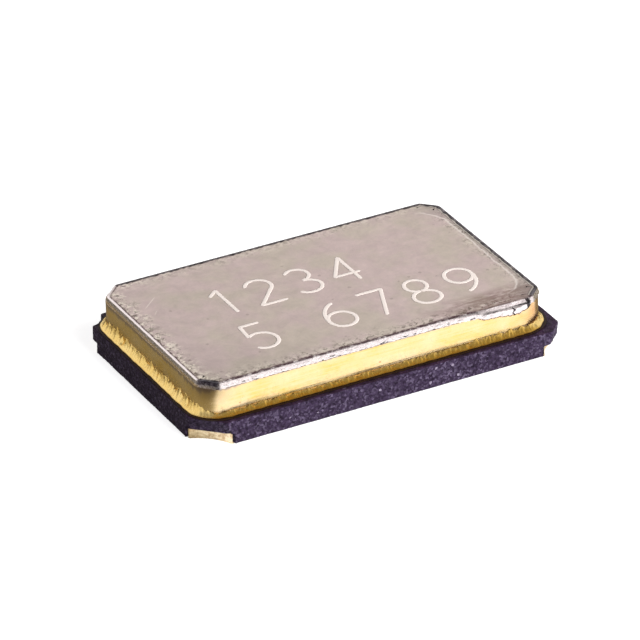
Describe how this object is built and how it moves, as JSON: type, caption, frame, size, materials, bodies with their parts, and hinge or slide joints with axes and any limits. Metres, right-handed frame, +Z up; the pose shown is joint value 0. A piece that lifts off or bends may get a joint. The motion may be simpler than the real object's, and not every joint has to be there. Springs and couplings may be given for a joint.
{
  "type": "crystal resonator",
  "caption": "Flat rectangular surface-mount quartz crystal resonator: metal lid welded on a gold-plated frame, on a dark ceramic base with plated corner contacts.",
  "frame": {"origin": "centre of the package's outline, on the plane of the four solder pads", "axes": "+X along the 5 mm side, +Y along the 3.2 mm side, +Z up through the lid; terminal 1 is at -X -Y"},
  "size_m": [0.005, 0.0032, 0.0008],
  "materials": {
    "dark_ceramic": "matte",
    "gold_plate": "satin",
    "lid_metal": "satin",
    "quartz": "polished",
    "electrode_film": "polished",
    "silver_adhesive": "matte",
    "fired_tungsten": "matte"
  },
  "bodies": {
    "root": {"adhesive_dot_1": "silver_adhesive", "adhesive_dot_2": "silver_adhesive", "braze_joint": "gold_plate", "ceramic_base": "dark_ceramic", "crystal_trace_1": "fired_tungsten", "crystal_trace_2": "fired_tungsten", "ground_link_1": "fired_tungsten", "ground_link_2": "fired_tungsten", "lid": "lid_metal", "lower_electrode": "electrode_film", "mounting_pad_1": "gold_plate", "mounting_pad_2": "gold_plate", "quartz_blank": "quartz", "rest_pad": "dark_ceramic", "seal_metallization": "gold_plate", "seal_ring": "gold_plate", "terminal_1": "gold_plate", "terminal_2": "gold_plate", "terminal_3": "gold_plate", "terminal_4": "gold_plate", "upper_electrode": "electrode_film"}
  },
  "joints": []
}
